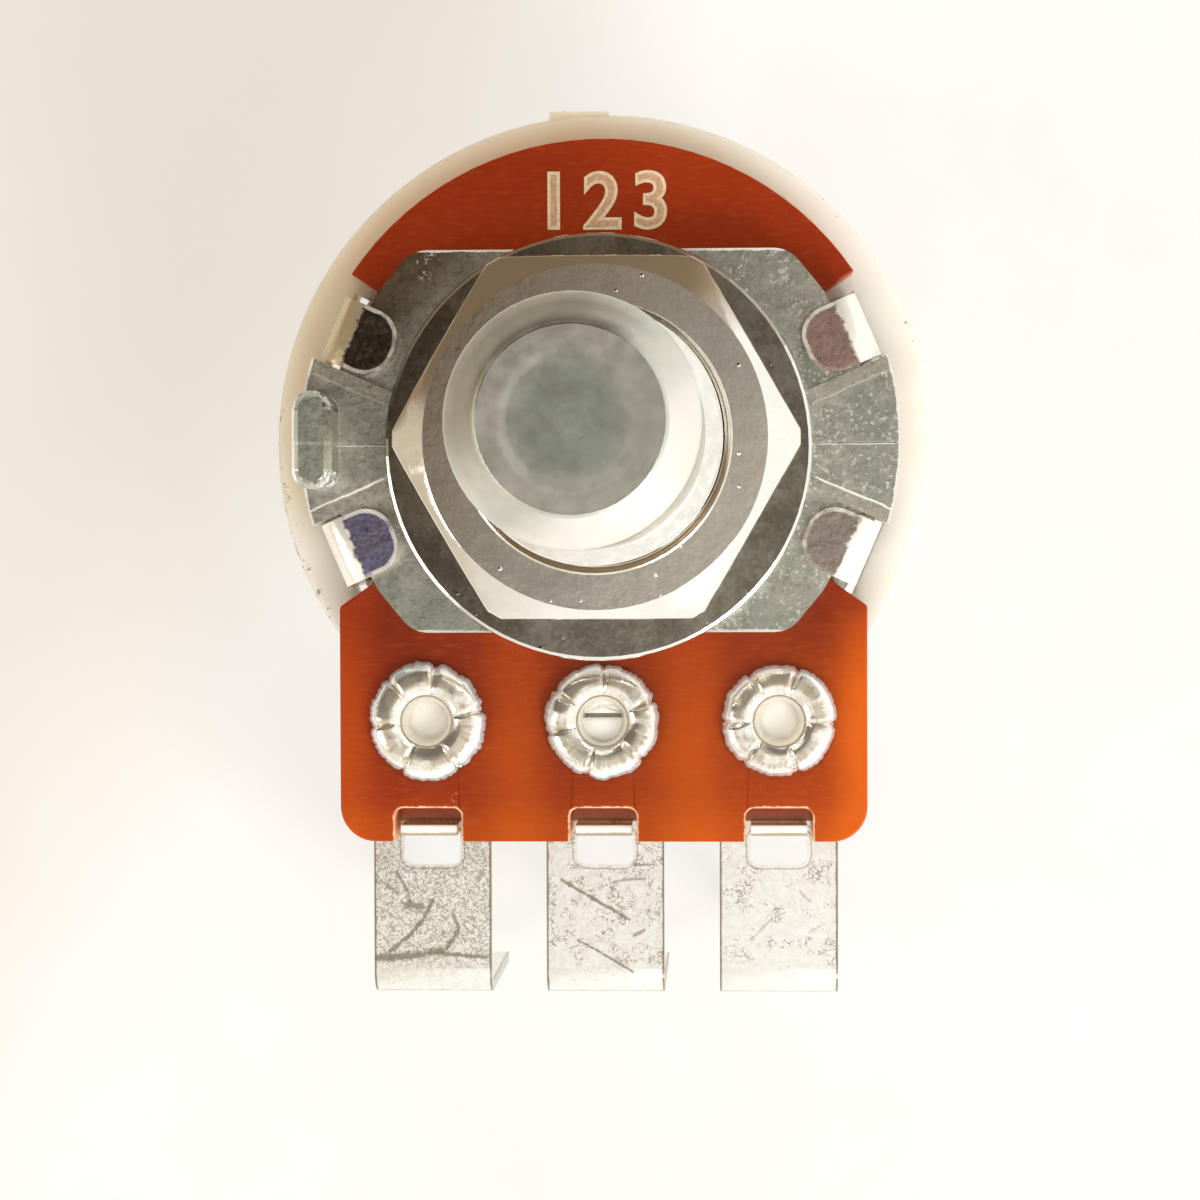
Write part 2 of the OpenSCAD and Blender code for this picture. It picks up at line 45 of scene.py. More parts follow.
# Sizes and places in millimetres, as in the part's source
PLATE_LOW, MOUNT_FACE, NIB_TOP = 9.3, 9.8, 11.6
PLATE_R, WING_R, PLATE_HALF_H = 7.5, 8.35, 5.35
BUSH_R, BUSH_END, SHAFT_TIP = 3.45, 14.8, 24.8
BOARD_FRONT, BOARD_FOOT = 8.0, -11.35
NOTCH_HALF_W, NOTCH_TOP, NOTCH_CORNER_R = 0.95, -10.4, 0.25
TERMINAL_HALF_W, TERMINAL_FOOT = 1.7, -15.9
LEFT, MIDDLE, RIGHT = -5.0, 0.0, 5.0
EYELET_X, EYELET_Y = (LEFT, MIDDLE, RIGHT), -7.9
FLANGE_R = 9.45
CLAW_ANGLE, CLAW_TIP_R, CLAW_HALF_W, CLAW_CORNER_R = 23.3, 6.25, 0.925, 0.8

# What only this script shapes: thread, parting line, the eyelets' inside, the floor
THREAD_PITCH, THREAD_ROOT = 0.75, 3.08
SEAM_Y = -0.1
CURL_HOLE_R = 0.70
FLOOR_Z = -4.22


# ---------------------------------------------------------------- node trees

def srgb(r, g, b):
    """A colour given as 0 to 255 display values, as linear RGBA."""
    out = []
    for v in (r, g, b):
        v /= 255.0
        out.append(v / 12.92 if v <= 0.04045 else ((v + 0.055) / 1.055) ** 2.4)
    return (*out, 1.0)


class Nodes:
    """Short names for the steps of a node tree. They take sockets or values and give a socket."""

    def __init__(self, tree):
        self.t = tree
        self.t.nodes.clear()

    def node(self, kind, *values):
        """A new node whose first inputs are linked or set."""
        n = self.t.nodes.new(kind)
        for socket, value in zip(n.inputs, values):
            self.put(socket, value)
        return n

    def put(self, socket, value):
        if isinstance(value, bpy.types.NodeSocket):
            self.t.links.new(value, socket)
        elif value is not None:
            socket.default_value = value

    def calc(self, op, a, b=None, clamp=False):
        n = self.node("ShaderNodeMath", a, b)
        n.operation = op
        n.use_clamp = clamp
        return n.outputs[0]

    def add(self, a, b, clamp=False):
        return self.calc("ADD", a, b, clamp)

    def sub(self, a, b):
        return self.calc("SUBTRACT", a, b)

    def mul(self, a, b):
        return self.calc("MULTIPLY", a, b)

    def most(self, a, b):
        return self.calc("MAXIMUM", a, b)

    def least(self, a, b):
        return self.calc("MINIMUM", a, b)

    def size(self, a):
        return self.calc("ABSOLUTE", a)

    def hypot(self, a, b):
        return self.calc("SQRT", self.add(self.mul(a, a), self.mul(b, b)))

    def beyond(self, dx, dy):
        """How far a point is from a box, from how far it lies past two of its sides."""
        return self.hypot(self.most(dx, 0.0), self.most(dy, 0.0))

    def vec(self, op, a, b=None):
        n = self.node("ShaderNodeVectorMath", a, b)
        n.operation = op
        return n.outputs["Value"]

    def span(self, value, lo, hi, out_lo=0.0, out_hi=1.0):
        """Goes smoothly from out_lo to out_hi while value goes from lo to hi."""
        n = self.node("ShaderNodeMapRange", value, lo, hi, out_lo, out_hi)
        n.interpolation_type = "SMOOTHSTEP"
        return n.outputs[0]

    def fade(self, value, lo, hi):
        """Goes smoothly from 1 to 0 while value goes from lo to hi."""
        return self.span(value, lo, hi, 1.0, 0.0)

    def mix(self, share, a, b):
        """The colour a, or b where share is 1."""
        n = self.t.nodes.new("ShaderNodeMix")
        n.data_type = "RGBA"
        for i, value in ((0, share), (6, a), (7, b)):
            self.put(n.inputs[i], value)
        return n.outputs[2]

    def over(self, base, mask, share, color):
        """base with a colour laid on it, at that share, where mask is 1."""
        return self.mix(self.mul(mask, share), base, color)

    def between(self, value, lo, hi, first, second):
        """The first colour while value is under lo, and the second when it is over hi."""
        return self.mix(self.span(value, lo, hi), first, second)


class Finish(Nodes):
    """One node material, worked out in millimetres of the part's own frame."""

    def __init__(self, name, **sockets):
        self.m = bpy.data.materials.new(name)
        self.m.use_nodes = True
        super().__init__(self.m.node_tree)
        self.out = self.node("ShaderNodeOutputMaterial")
        self.p = self.node("ShaderNodeBsdfPrincipled")
        self.put(self.out.inputs[0], self.p.outputs[0])
        place = self.node("ShaderNodeTexCoord")
        mm = self.node("ShaderNodeVectorMath", place.outputs["Object"])
        mm.operation = "SCALE"
        mm.inputs["Scale"].default_value = 1.0 / MM
        self.mm = mm.outputs[0]
        for key, value in sockets.items():
            self.put(self.p.inputs[key.replace("_", " ")], value)

    def xyz(self):
        return self.node("ShaderNodeSeparateXYZ", self.mm).outputs

    def normal(self, kind="Normal"):
        """Which way the surface faces, as x, y and z."""
        face = self.node("ShaderNodeNewGeometry")
        return self.node("ShaderNodeSeparateXYZ", face.outputs[kind]).outputs

    def pair(self, a=None, b=None):
        """Two worked-out values as the place where a texture is read."""
        return self.node("ShaderNodeCombineXYZ", a, b).outputs[0]

    def mapped(self, place, at, stretch=(1, 1, 1)):
        n = self.node("ShaderNodeMapping", place or self.mm)
        n.inputs["Location"].default_value = at
        n.inputs["Scale"].default_value = stretch
        return n.outputs[0]

    def noise(self, scale, detail=3.0, rough=0.5, stretch=(1, 1, 1), at=(0, 0, 0), warp=0.0,
              place=None):
        n = self.t.nodes.new("ShaderNodeTexNoise")
        for key, value in (("Vector", self.mapped(place, at, stretch)), ("Scale", scale),
                           ("Detail", detail), ("Roughness", rough), ("Distortion", warp)):
            self.put(n.inputs[key], value)
        return n.outputs[0]

    def cells(self, scale, at):
        """How far each point is from the nearest of some scattered points."""
        n = self.t.nodes.new("ShaderNodeTexVoronoi")
        self.put(n.inputs["Vector"], self.mapped(None, at))
        self.put(n.inputs["Scale"], scale)
        return n.outputs[0]

    def wander(self, scale, detail, rough, reach):
        """A soft shift to either side, of up to half of reach, that makes a line uneven."""
        return self.mul(self.sub(self.noise(scale, detail, rough), 0.5), reach)

    def gloss(self, texture, lo, hi):
        """A roughness between lo and hi that follows a texture."""
        return self.span(texture, 0.3, 0.7, lo, hi)

    def claw_axes(self, x, y):
        """Places along the radius through a claw, and across it, alike for all four claws."""
        turn = math.radians(CLAW_ANGLE)
        ax, ay = self.size(x), self.size(y)
        u = self.add(self.mul(ax, math.cos(turn)), self.mul(ay, math.sin(turn)))
        v = self.sub(self.mul(ay, math.cos(turn)), self.mul(ax, math.sin(turn)))
        return u, v

    def bump(self, height, depth_mm, strength, under=None):
        n = self.t.nodes.new("ShaderNodeBump")
        for key, value in (("Height", height), ("Distance", depth_mm * MM),
                           ("Strength", strength), ("Normal", under)):
            self.put(n.inputs[key], value)
        return n.outputs[0]

    def set(self, color, rough, normal, metal=None):
        for key, value in (("Base Color", color), ("Roughness", rough), ("Normal", normal),
                           ("Metallic", metal)):
            self.put(self.p.inputs[key], value)
        return self.m


# ---------------------------------------------------------------- materials

def die_cast_zinc():
    """The casting: cloudy grey, with brown painted shade at the upper left, and painted
    highlights where wear or scoring has marked it.
    """
    f = Finish("die_cast_zinc")
    x, y, z = f.xyz()
    mottle = f.noise(2.6, 5, 0.7, warp=0.5)
    base = f.between(mottle, 0.36, 0.64, srgb(180, 179, 168), srgb(206, 205, 194))
    cloud = f.span(f.noise(0.55, 4, 0.6), 0.42, 0.66)
    base = f.over(base, cloud, 0.55, srgb(160, 170, 158))
    pale = f.span(f.noise(0.8, 4, 0.6, at=(6, 0, 3)), 0.5, 0.64)
    base = f.over(base, pale, 0.35, srgb(240, 236, 224))
    dark = f.span(f.noise(4.2, 5, 0.75, at=(3, 8, 1)), 0.57, 0.69)
    base = f.over(base, dark, 0.32, srgb(118, 112, 98))
    # painted shade: brown over the upper left of the plate
    shade_upper_left = f.mul(f.span(f.sub(y, x), 7.0, 10.0), f.span(y, 1.8, 3.0))
    base = f.over(base, shade_upper_left, 0.85, srgb(114, 90, 64))
    # bright flecks, more of them to the right
    fleck = f.span(f.noise(8.0, 3, 0.6, at=(0, 4, 4)), 0.56, 0.64)
    where = f.add(f.noise(1.1, 3), f.span(x, -2.0, 6.5, -0.05, 0.1))
    base = f.mix(f.mul(fleck, f.span(where, 0.48, 0.62)), base, srgb(252, 250, 242))
    # smooth strips where the claws were folded down, with a painted highlight line along each,
    # brighter lower down
    on_face = f.span(z, MOUNT_FACE - 0.1, MOUNT_FACE - 0.05)
    wavy = f.wander(2.2, 4, 0.6, 0.12)
    u, v = f.claw_axes(x, y)
    v = f.add(v, wavy)
    strip_edge = -1.42
    strip = f.mul(f.span(v, strip_edge, strip_edge + 0.04), f.span(v, -1.0, -1.05))
    strip = f.mul(strip, f.mul(f.span(u, 6.0, 6.2), on_face))
    base = f.over(base, strip, 0.6, srgb(206, 200, 184))
    line = f.fade(f.size(f.add(v, -strip_edge)), 0.015, 0.045)
    line = f.mul(line, f.mul(f.span(u, 5.8, 6.0), on_face))
    line = f.mul(line, f.span(y, 0.5, -0.5, 0.35, 1.0))
    # a painted highlight along the outline's rim
    outside = f.most(f.sub(f.hypot(x, y), WING_R - 0.08), f.sub(f.size(y), PLATE_HALF_H - 0.08))
    line = f.most(line, f.span(f.add(outside, wavy), 0.0, 0.03))
    base = f.over(base, line, 0.85, srgb(253, 252, 247))
    # the locating nib's top, the die's parting line, the lower part, and the raised edges, bright
    # from wear and painted brighter as highlights
    nib = f.mul(f.span(z, NIB_TOP - 0.15, NIB_TOP - 0.05), f.span(x, -6.5, -7.0))
    base = f.over(base, nib, 0.5, srgb(168, 178, 162))
    seam = f.mul(f.fade(f.size(f.add(y, -SEAM_Y)), 0.02, 0.07), on_face)
    base = f.over(base, seam, 0.5, srgb(245, 243, 236))
    base = f.mix(f.span(y, -3.0, -5.0, 0.0, 0.3), base, srgb(160, 164, 150))
    worn_lit_edge = f.mul(f.fade(f.normal()[2], 0.86, 0.97), f.span(z, PLATE_LOW, PLATE_LOW + 0.3))
    worn_lit_edge = f.mul(worn_lit_edge, f.span(z, MOUNT_FACE + 0.15, MOUNT_FACE + 0.05))
    worn_lit_edge = f.mul(worn_lit_edge, f.span(f.noise(2.4, 4, 0.7, at=(1, 1, 6)), 0.38, 0.5))
    base = f.over(base, worn_lit_edge, 0.9, srgb(252, 251, 246))
    n = f.bump(f.noise(2.4, 4, 0.55), 0.02, 0.4)
    n = f.bump(f.noise(13.0, 3, 0.6), 0.008, 0.5, under=n)
    metal = f.sub(0.9, f.mul(f.most(worn_lit_edge, line), 0.6))
    return f.set(base, f.gloss(f.noise(5.0, 4, 0.6), 0.22, 0.36), n, metal)


def polished_zinc():
    """The turned bush of the casting."""
    f = Finish("die_cast_zinc_turned", Metallic=1.0)
    z = f.xyz()[2]
    cloud = f.noise(3.0, 4, 0.6)
    base = f.between(cloud, 0.34, 0.66, srgb(238, 235, 226), srgb(250, 248, 241))
    lathe = f.noise(9.0, 3, 0.7, place=f.pair(None, z))
    return f.set(base, f.gloss(cloud, 0.14, 0.22), f.bump(lathe, 0.003, 0.4))


def plated_steel(name, light, dark, rough_lo, rough_hi, pits, edge):
    """Bright zinc-plated steel, with painted highlights on edges bright from wear, and painted
    shade on the chamfers that face up and left. pits and edge are how strongly its pits and its
    highlighted edges show.
    """
    f = Finish(name)
    x = f.xyz()[0]
    nx, ny, nz = f.normal()
    tilt = f.size(nz)
    fine = f.noise(5.0, 5, 0.7, warp=0.4)
    cloud = f.add(f.mul(f.noise(0.6, 4, 0.6), 0.6), f.mul(fine, 0.4))
    base = f.between(cloud, 0.4, 0.6, dark, light)
    where = f.span(f.noise(0.7, 2, at=(5, 5, 5)), 0.45, 0.55)
    pit = f.mul(f.fade(f.cells(2.1, at=(3, 1, 0)), 0.05, 0.13), where)
    pit = f.mul(pit, f.span(tilt, 0.97, 0.99))
    base = f.over(base, pit, pits, srgb(245, 243, 236))
    # edges bright from wear, painted brighter as highlights toward the right
    worn_lit_edge = f.mul(f.fade(tilt, 0.93, 0.985), f.span(tilt, 0.02, 0.12))
    worn_lit_edge = f.mul(worn_lit_edge, f.span(x, -6.2, -3.0, 0.25, 1.0))
    base = f.over(base, worn_lit_edge, edge, srgb(252, 251, 246))
    # painted shade: the chamfers that face up and left are painted brown and made less metallic
    dull = f.span(f.sub(ny, f.mul(nx, 0.3)), 0.15, 0.35)
    dull = f.mul(dull, f.mul(f.span(tilt, 0.97, 0.94), f.span(tilt, 0.4, 0.6)))
    base = f.mix(dull, base, srgb(164, 144, 118))
    n = f.bump(f.noise(1.3, 3, 0.5), 0.012, 0.25)
    n = f.bump(pit, 0.02, 0.7, under=n)
    n = f.bump(fine, 0.0035, 0.5, under=n)
    rough = f.gloss(f.noise(2.0, 5, 0.7), rough_lo, rough_hi)
    return f.set(base, rough, n, f.sub(1.0, f.mul(dull, 0.55)))


def turned_shaft():
    """Turned steel, with painted shade of a hollow on the tip, a painted highlight arc beside it,
    and a chamfer painted darker at the upper left and lit at the lower right.
    """
    f = Finish("shaft_metal", Metallic=1.0)
    x, y, z = f.xyz()
    r = f.hypot(x, y)
    base = f.between(f.noise(0.9, 4, 0.6), 0.35, 0.65, srgb(208, 209, 198), srgb(222, 221, 210))
    on_tip = f.span(z, SHAFT_TIP - 0.2, SHAFT_TIP - 0.05)
    # painted shade of a hollow in the tip's middle, lighter again at the very middle
    hollow = f.mul(f.fade(r, 0.9, 1.75), on_tip)
    base = f.over(base, hollow, 0.6, srgb(158, 172, 166))
    middle = f.mul(f.fade(r, 0.1, 0.75), on_tip)
    base = f.over(base, middle, 0.35, srgb(206, 214, 206))
    # painted shade on the chamfer at the upper left, and a painted highlight on it at the lower
    # right
    chamfer = f.mul(f.span(z, SHAFT_TIP - 0.02, SHAFT_TIP - 0.1),
                    f.span(z, SHAFT_TIP - 0.9, SHAFT_TIP - 0.7))
    dim = f.mul(chamfer, f.span(f.sub(f.mul(y, 0.8), f.mul(x, 0.8)), 0.2, 2.4))
    base = f.over(base, dim, 0.7, srgb(138, 124, 100))
    lit = f.mul(chamfer, f.span(f.sub(x, y), 0.4, 2.6))
    base = f.over(base, lit, 0.85, srgb(255, 252, 244))
    # a painted highlight: a bright arc round the left of the hollow's painted shade
    ring = f.fade(f.size(f.sub(r, 1.6)), 0.03, 0.2)
    turn = f.size(f.add(f.calc("ARCTAN2", y, x), 0.1))
    arc = f.mul(f.mul(ring, f.fade(f.size(f.sub(turn, 2.7)), 0.45, 0.75)), on_tip)
    base = f.over(base, arc, 0.7, srgb(246, 246, 238))
    lathe = f.noise(7.0, 4, 0.7, place=f.pair(r, z))
    return f.set(base, f.gloss(f.noise(2.0, 4, 0.6), 0.28, 0.38), f.bump(lathe, 0.003, 0.5))


def phenolic_board():
    """Orange resin board, with a painted glow between the terminals behind it and along its right
    and bottom edges, and painted shade in a darker red elsewhere.
    """
    f = Finish("phenolic_board", Subsurface_Weight=0.1, Subsurface_Scale=0.0008,
               Subsurface_Radius=(1.0, 0.3, 0.1), Specular_IOR_Level=0.25)
    x, y = f.xyz()[:2]
    cloud = f.sub(f.noise(0.5, 3, 0.5), 0.5)
    wavy = f.add(x, f.mul(cloud, 0.8))
    near = reduce(f.least, [f.size(f.sub(wavy, cx)) for cx in EYELET_X])
    gap = f.span(near, 1.1, 2.4)
    # light through the gaps, and along the right and bottom edges
    glow = f.add(f.mul(gap, 0.32), f.span(x, -7.5, 7.5, 0.0, 0.25))
    glow = f.add(glow, f.span(x, 6.2, 7.8, 0.0, 0.25))
    glow = f.mul(f.add(glow, f.mul(cloud, 0.25)), f.span(y, -3.5, -8.5))
    glow = f.add(glow, f.span(y, BOARD_FOOT + 1.55, BOARD_FOOT + 0.05, 0.0, 0.35), clamp=True)
    corner = f.mul(f.span(x, 6.0, 7.6), f.span(y, -4.4, -5.4, 0.0, 0.3))
    glow = f.add(glow, corner, clamp=True)
    # painted shade: a darker red where the terminals behind the board keep the light out
    shade = f.mul(f.sub(1.0, gap), f.span(y, -3.8, -5.0))
    shade = f.mul(shade, f.span(y, -11.0, -7.0, 0.2, 1.0))
    shaded_red = f.over(srgb(148, 44, 0), shade, 0.8, srgb(122, 34, 0))
    base = f.mix(glow, shaded_red, srgb(206, 90, 0))
    # a small ring-shaped scuff over the left notch
    scuff = f.size(f.sub(f.vec("DISTANCE", f.mm, (-4.2, -10.1, BOARD_FRONT)), 0.12))
    scuff = f.add(scuff, f.mul(f.noise(7.0, 3, 0.7, at=(2, 2, 0)), 0.08))
    base = f.mix(f.span(scuff, 0.03, 0.05, 0.6, 0.0), base, srgb(250, 190, 140))
    fibre = f.noise(4.0, 4, 0.65, stretch=(0.5, 2.2, 1.0))
    base = f.over(base, f.span(fibre, 0.45, 0.75), 0.12, srgb(222, 118, 50))
    speck = f.fade(f.cells(3.1, at=(1, 5, 2)), 0.02, 0.05)
    base = f.over(base, speck, 0.45, srgb(240, 180, 130))
    # the punched notches have chipped, pale edges
    ragged = f.wander(5.0, 4, 0.7, 0.16)
    chips = []
    for cx in EYELET_X:
        dx = f.sub(f.size(f.sub(x, cx)), NOTCH_HALF_W - NOTCH_CORNER_R)
        dy = f.sub(y, NOTCH_TOP - NOTCH_CORNER_R)
        away = f.add(f.beyond(dx, dy), ragged)
        chips.append(f.fade(away, NOTCH_CORNER_R + 0.02, NOTCH_CORNER_R + 0.075))
    chip = f.mul(reduce(f.most, chips),
                 f.span(f.noise(2.6, 4, 0.7, at=(6, 1, 1)), 0.36, 0.5, 0.5, 1.0))
    base = f.mix(chip, base, srgb(244, 200, 156))
    edge = f.fade(f.size(f.normal("True Normal")[2]), 0.3, 0.6)
    layers = f.span(f.noise(6.0, 4, 0.7, stretch=(1, 1, 4)), 0.35, 0.7)
    base = f.mix(f.mul(edge, layers), base, srgb(214, 96, 28))
    n = f.bump(fibre, 0.006, 0.4)
    n = f.bump(f.noise(1.1, 3, 0.5), 0.015, 0.4, under=n)
    return f.set(base, f.gloss(f.noise(2.5, 4, 0.6), 0.36, 0.5), n)


def housing_plastic():
    """Milky translucent plastic, with brown painted shade toward the upper left, and specks of
    dirt on its rim.
    """
    f = Finish("housing_plastic", Subsurface_Weight=0.8, Subsurface_Scale=0.003,
               Subsurface_Radius=(1.0, 0.94, 0.84), Specular_IOR_Level=0.4)
    x, y = f.xyz()[:2]
    base = f.between(f.noise(0.35, 3, 0.5), 0.35, 0.65, srgb(239, 234, 223), srgb(234, 227, 213))
    # painted shade: browner toward the upper left
    upper = f.span(f.sub(y, f.mul(x, 0.9)), 0.0, 12.5)
    base = f.over(base, upper, 0.85, srgb(204, 187, 160))
    low_left = f.mul(f.span(x, -5.2, -6.2), f.span(y, 3.0, -1.5))
    dirt = f.noise(3.4, 4, 0.7, at=(7, 2, 0))
    speck = f.mul(f.span(dirt, 0.58, 0.62), low_left)
    speck = f.most(speck, f.span(dirt, 0.66, 0.69))
    rim = f.span(f.hypot(x, y), FLANGE_R - 0.33, FLANGE_R - 0.09)
    base = f.mix(f.mul(speck, rim), base, srgb(120, 88, 52))
    n = f.bump(f.noise(0.9, 4, 0.55), 0.03, 0.5)
    n = f.bump(f.noise(7.0, 3, 0.6), 0.005, 0.5, under=n)
    return f.set(base, f.gloss(f.noise(1.5, 4, 0.6), 0.34, 0.5), n)


def scratch(f, x, y, points, width):
    """1 along a scratch through the points, with an uneven edge."""
    parts = []
    for (x1, y1), (x2, y2) in zip(points, points[1:]):
        length = math.hypot(x2 - x1, y2 - y1)
        ux, uy = (x2 - x1) / length, (y2 - y1) / length
        px, py = f.sub(x, x1), f.sub(y, y1)
        along = f.add(f.mul(px, ux), f.mul(py, uy))
        along = f.least(f.most(along, 0.0), length)
        parts.append(f.hypot(f.sub(px, f.mul(along, ux)), f.sub(py, f.mul(along, uy))))
    away = f.add(reduce(f.least, parts), f.wander(6.0, 4, 0.7, width * 1.6))
    return f.fade(away, width * 0.2, width * 0.7)


def tinned(name, cx, tint, shade, veins, marks):
    """Bright tin over brass: fine grey veins, dark lines where it was sheared, scratches, a
    painted highlight round the window, a painted reflection of the board's colour in the notch,
    and painted light and shade on the tongue's end.

    Each mark is the points of a scratch, its width in millimetres and its strength.
    """
    f = Finish(name)
    x, y, z = f.xyz()
    off = f.size(f.sub(x, cx))
    fine = f.noise(5.0, 5, 0.68, warp=0.6)
    base = f.between(fine, 0.34, 0.66, shade, tint)
    curl = f.size(f.sub(f.noise(7.5, 1.5, 0.5, at=(2, 7, 0), warp=0.5), 0.5))
    vein = f.fade(curl, 0.02, 0.075)
    patch = f.span(f.noise(1.3, 5, 0.75, at=(4, cx, 1)), 0.58 - 0.28 * veins, 0.7 - 0.28 * veins)
    side = f.span(off, 1.3, 1.6, 0.0, 0.5 * veins)
    vein = f.mul(vein, f.add(patch, side, clamp=True))
    vein = f.mul(vein, f.span(y, -15.3, -14.8, 0.2, 1.0))
    base = f.over(base, vein, 0.78 - 0.14 * veins, srgb(146, 140, 122))
    # sheared edges, and the window below the notch: a painted highlight on its rim, with a dark
    # line round it
    wavy = f.wander(2.2, 4, 0.6, 0.08)
    level = f.add(y, wavy)
    edge = f.span(f.add(off, wavy), TERMINAL_HALF_W - 0.08, TERMINAL_HALF_W - 0.04)
    bottom = f.span(level, TERMINAL_FOOT + 0.08, TERMINAL_FOOT + 0.02)
    edge = f.most(edge, f.mul(bottom, f.span(z, 5.85, 6.15)))
    window_y, half_w, half_h, rim_r = -11.65, 0.55, 0.22, 0.385
    rim = f.beyond(f.sub(off, half_w), f.sub(f.size(f.add(y, -window_y)), half_h))
    ring = f.fade(f.size(f.sub(f.add(rim, wavy), rim_r)), 0.01, 0.03)
    edge = f.most(edge, f.mul(ring, 0.6))
    edge = f.mul(edge, f.span(z, 6.9, 6.8))
    base = f.mix(f.fade(rim, 0.27, 0.36), base, srgb(255, 254, 250))
    base = f.over(base, edge, 0.85, srgb(138, 124, 92))
    # painted reflection: the strip's face far down in the notch is painted in the board's reds;
    # painted light and shade on the tongue's end, a white highlight between tan shades
    well = f.mul(f.mul(f.span(y, -10.9, -10.84), f.span(z, 7.0, 6.85)), f.span(z, 6.6, 6.7))
    red = f.between(y, -10.5, -10.85, srgb(214, 76, 16), srgb(196, 128, 70))
    base = f.over(base, well, 0.95, red)
    end = f.span(z, 7.0, 7.6)
    lip = f.between(level, -10.98, -10.9, srgb(255, 254, 250), srgb(206, 192, 164))
    lip = f.between(level, -11.1, -11.14, lip, srgb(186, 174, 148))
    base = f.mix(end, base, lip)
    for points, width, strength in marks:
        line = f.mul(scratch(f, x, y, points, width), f.span(z, 6.0, 6.4))
        base = f.over(base, line, strength, srgb(140, 132, 112))
    metal = f.sub(0.82, f.mul(f.most(well, end), 0.7))
    return f.set(base, f.gloss(fine, 0.2, 0.1), f.bump(fine, 0.002, 0.4), metal)


def burst_tin():
    """The eyelets: bright tin with a ring of painted shade in streaky taupe, a white rim painted
    as a highlight, a cyan tint at the torn edge against the board's orange reflection, and a
    duller hole.
    """
    f = Finish("tinned_eyelet")
    x, y = f.xyz()[:2]
    fine = f.noise(7.0, 5, 0.7, warp=0.8)
    base = f.between(fine, 0.36, 0.62, srgb(238, 232, 216), srgb(255, 253, 248))
    dull = f.span(f.noise(3.0, 4, 0.7, at=(2, 2, 7)), 0.56, 0.68)
    base = f.over(base, dull, 0.35, srgb(190, 178, 152))
    # the three eyelets stand one pitch apart, so one remainder serves all of them
    pitch = MIDDLE - LEFT
    dx = f.sub(f.calc("FLOORED_MODULO", f.add(x, 1.5 * pitch), pitch), pitch / 2)
    dy = f.sub(y, EYELET_Y)
    r = f.hypot(dx, dy)
    # painted shade: a taupe ring with streaky edges across the curl's flat top
    streak = f.noise(11.0, 4, 0.7, stretch=(1.0, 0.1, 1.0),
                     place=f.pair(f.calc("ARCTAN2", dy, dx), x))
    reach = f.add(r, f.mul(f.sub(streak, 0.5), 0.5))
    shade_band = f.mul(f.span(r, 0.98, 1.06), f.fade(reach, 1.26, 1.36))
    shade_band = f.mul(shade_band, f.span(streak, 0.36, 0.6, 1.0, 0.55))
    shade_band = f.mul(shade_band, f.span(f.noise(1.6, 3, 0.6, at=(9, 0, 2)), 0.36, 0.5))
    base = f.over(base, shade_band, 0.85, srgb(166, 150, 120))
    # painted highlight: the rim is painted white; past it the torn edge is tinted cyan against
    # the board's orange reflection
    base = f.mix(f.span(r, 1.38, 1.46), base, srgb(255, 254, 250))
    base = f.mix(f.span(r, 1.48, 1.54), base, srgb(234, 252, 254))
    base = f.mix(f.fade(r, 0.67, 0.71), base, srgb(232, 227, 216))
    line = f.fade(f.size(f.sub(r, CURL_HOLE_R + 0.025)), 0.012, 0.04)
    base = f.over(base, line, 0.75, srgb(140, 124, 92))
    metal = f.mul(f.span(r, 0.67, 0.8, 0.35, 0.86), f.span(r, 1.38, 1.5, 1.0, 0.7))
    metal = f.sub(metal, f.mul(shade_band, 0.35))
    return f.set(base, f.gloss(fine, 0.22, 0.1), f.bump(fine, 0.005, 0.5), metal)


